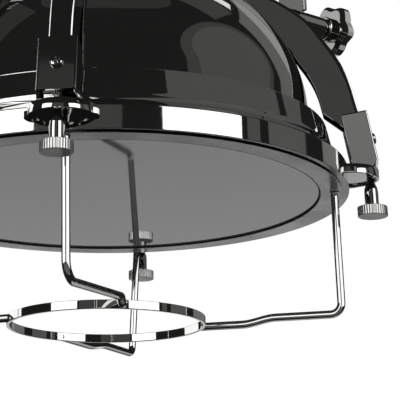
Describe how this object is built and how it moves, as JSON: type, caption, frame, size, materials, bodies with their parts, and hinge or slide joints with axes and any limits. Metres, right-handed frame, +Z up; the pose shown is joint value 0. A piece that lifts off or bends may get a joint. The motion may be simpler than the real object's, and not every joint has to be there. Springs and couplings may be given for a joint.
{
  "type": "dome pendant lamp",
  "caption": "Dome pendant lamp in a tilting yoke, polished nickel, with a clamped front glass behind a wire cage and knurled thumb screws.",
  "frame": {"origin": "middle of the ceiling plate's top face, where the lamp meets the ceiling", "axes": "+Z up along the stem and the lamp's axis, +X along the tilt pivot, +Y square to the pivot"},
  "size_m": [0.7252, 0.5, 0.8446],
  "materials": {
    "polished_nickel": "polished nickel plate, mirror bright",
    "satin_nickel": "satin nickel plate",
    "glass": "polished, mirror-like grey",
    "seal": "matt black",
    "reflector": "spun, semi-bright",
    "porcelain": "white glaze",
    "bulb": "frosted"
  },
  "bodies": {
    "ceiling": {"ceiling_plate": "satin_nickel", "canopy": "polished_nickel", "stem": "polished_nickel", "swivel_socket": "polished_nickel", "swivel_pin": "polished_nickel"},
    "yoke": {"yoke_bar": "polished_nickel", "swivel_hub": "polished_nickel", "yoke_sleeve_right": "polished_nickel", "yoke_sleeve_left": "polished_nickel", "knob_washer_right": "polished_nickel", "knob_washer_left": "polished_nickel"},
    "knob_right": {"tilt_knob_right": "polished_nickel"},
    "knob_left": {"tilt_knob_left": "polished_nickel"},
    "head": {"dome": "polished_nickel", "bell": "polished_nickel", "bezel": "polished_nickel", "retaining_ring": "polished_nickel", "glass_seal": "seal", "front_glass": "glass", "neck_housing": "polished_nickel", "neck_lid": "polished_nickel", "arm_collar": "polished_nickel", "reflector": "reflector", "lampholder": "porcelain", "bulb": "bulb", "cage_ring": "polished_nickel", "arm_1": "polished_nickel", "clamp_bracket_1": "polished_nickel", "bracket_screw_1": "polished_nickel", "clamp_block_1": "polished_nickel", "cage_rod_1": "polished_nickel", "arm_2": "polished_nickel", "clamp_bracket_2": "polished_nickel", "bracket_screw_2": "polished_nickel", "clamp_block_2": "polished_nickel", "cage_rod_2": "polished_nickel", "arm_3": "polished_nickel", "clamp_bracket_3": "polished_nickel", "bracket_screw_3": "polished_nickel", "clamp_block_3": "polished_nickel", "cage_rod_3": "polished_nickel", "arm_4": "polished_nickel", "clamp_bracket_4": "polished_nickel", "bracket_screw_4": "polished_nickel", "clamp_block_4": "polished_nickel", "cage_rod_4": "polished_nickel", "pivot_shaft_right": "polished_nickel", "pivot_shaft_left": "polished_nickel"},
    "thumb_screw_1": {"thumb_screw_1": "satin_nickel"},
    "thumb_screw_2": {"thumb_screw_2": "satin_nickel"},
    "thumb_screw_3": {"thumb_screw_3": "satin_nickel"},
    "thumb_screw_4": {"thumb_screw_4": "satin_nickel"}
  },
  "joints": [
    {"name": "yoke_swivel", "type": "hinge", "parent": "ceiling", "child": "yoke", "pos_m": [0, 0, -0.2903], "axis": [0, 0, 1], "range_deg": [-175, 175]},
    {"name": "head_tilt", "type": "hinge", "parent": "yoke", "child": "head", "pos_m": [0, 0, -0.4469], "axis": [1, 0, 0], "range_deg": [-90, 90]},
    {"name": "knob_right_turn", "type": "hinge", "parent": "yoke", "child": "knob_right", "pos_m": [0.345, 0, -0.4469], "axis": [1, 0, 0], "range_deg": [-360, 360]},
    {"name": "knob_left_turn", "type": "hinge", "parent": "yoke", "child": "knob_left", "pos_m": [-0.345, 0, -0.4469], "axis": [-1, 0, 0], "range_deg": [-360, 360]},
    {"name": "thumb_screw_1_turn", "type": "hinge", "parent": "head", "child": "thumb_screw_1", "pos_m": [0.19205, 0.19205, -0.7149], "axis": [0, 0, 1], "range_deg": [-360, 360]},
    {"name": "thumb_screw_2_turn", "type": "hinge", "parent": "head", "child": "thumb_screw_2", "pos_m": [-0.19205, 0.19205, -0.7149], "axis": [0, 0, 1], "range_deg": [-360, 360]},
    {"name": "thumb_screw_3_turn", "type": "hinge", "parent": "head", "child": "thumb_screw_3", "pos_m": [-0.19205, -0.19205, -0.7149], "axis": [0, 0, 1], "range_deg": [-360, 360]},
    {"name": "thumb_screw_4_turn", "type": "hinge", "parent": "head", "child": "thumb_screw_4", "pos_m": [0.19205, -0.19205, -0.7149], "axis": [0, 0, 1], "range_deg": [-360, 360]}
  ]
}
